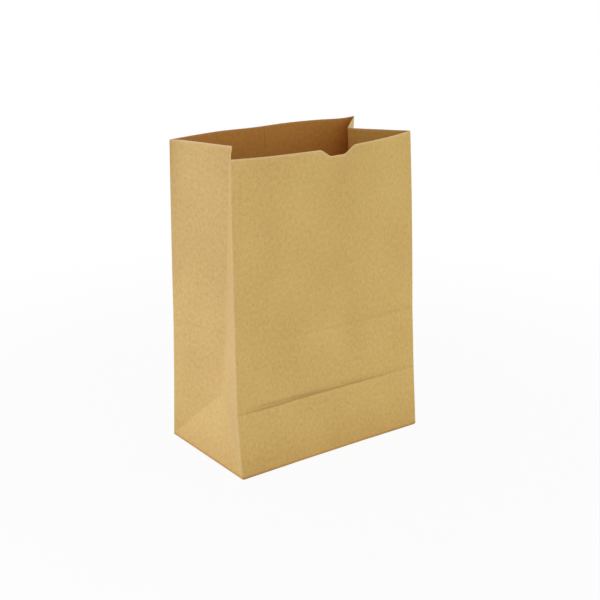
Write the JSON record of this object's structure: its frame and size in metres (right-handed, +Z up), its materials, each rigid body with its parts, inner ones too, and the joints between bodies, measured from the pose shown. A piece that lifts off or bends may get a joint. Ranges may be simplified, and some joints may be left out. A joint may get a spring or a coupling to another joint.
{
  "type": "brown paper bag",
  "caption": "Open flat-bottomed brown kraft paper sack with side gussets tucked inward, a folded block base and a thumb notch in the front edge, for carrying lunch or groceries.",
  "frame": {"origin": "middle of the base rectangle, on the outer face of the lapped base flaps", "axes": "+X to the right across the front panel, -Y out of the front panel that has the thumb notch, +Z up to the mouth"},
  "size_m": [0.3068, 0.1825, 0.432],
  "materials": {
    "kraft_paper": "unbleached, matt, faint fibre grain"
  },
  "bodies": {
    "root": {"paper_bag": "kraft_paper"}
  },
  "joints": []
}
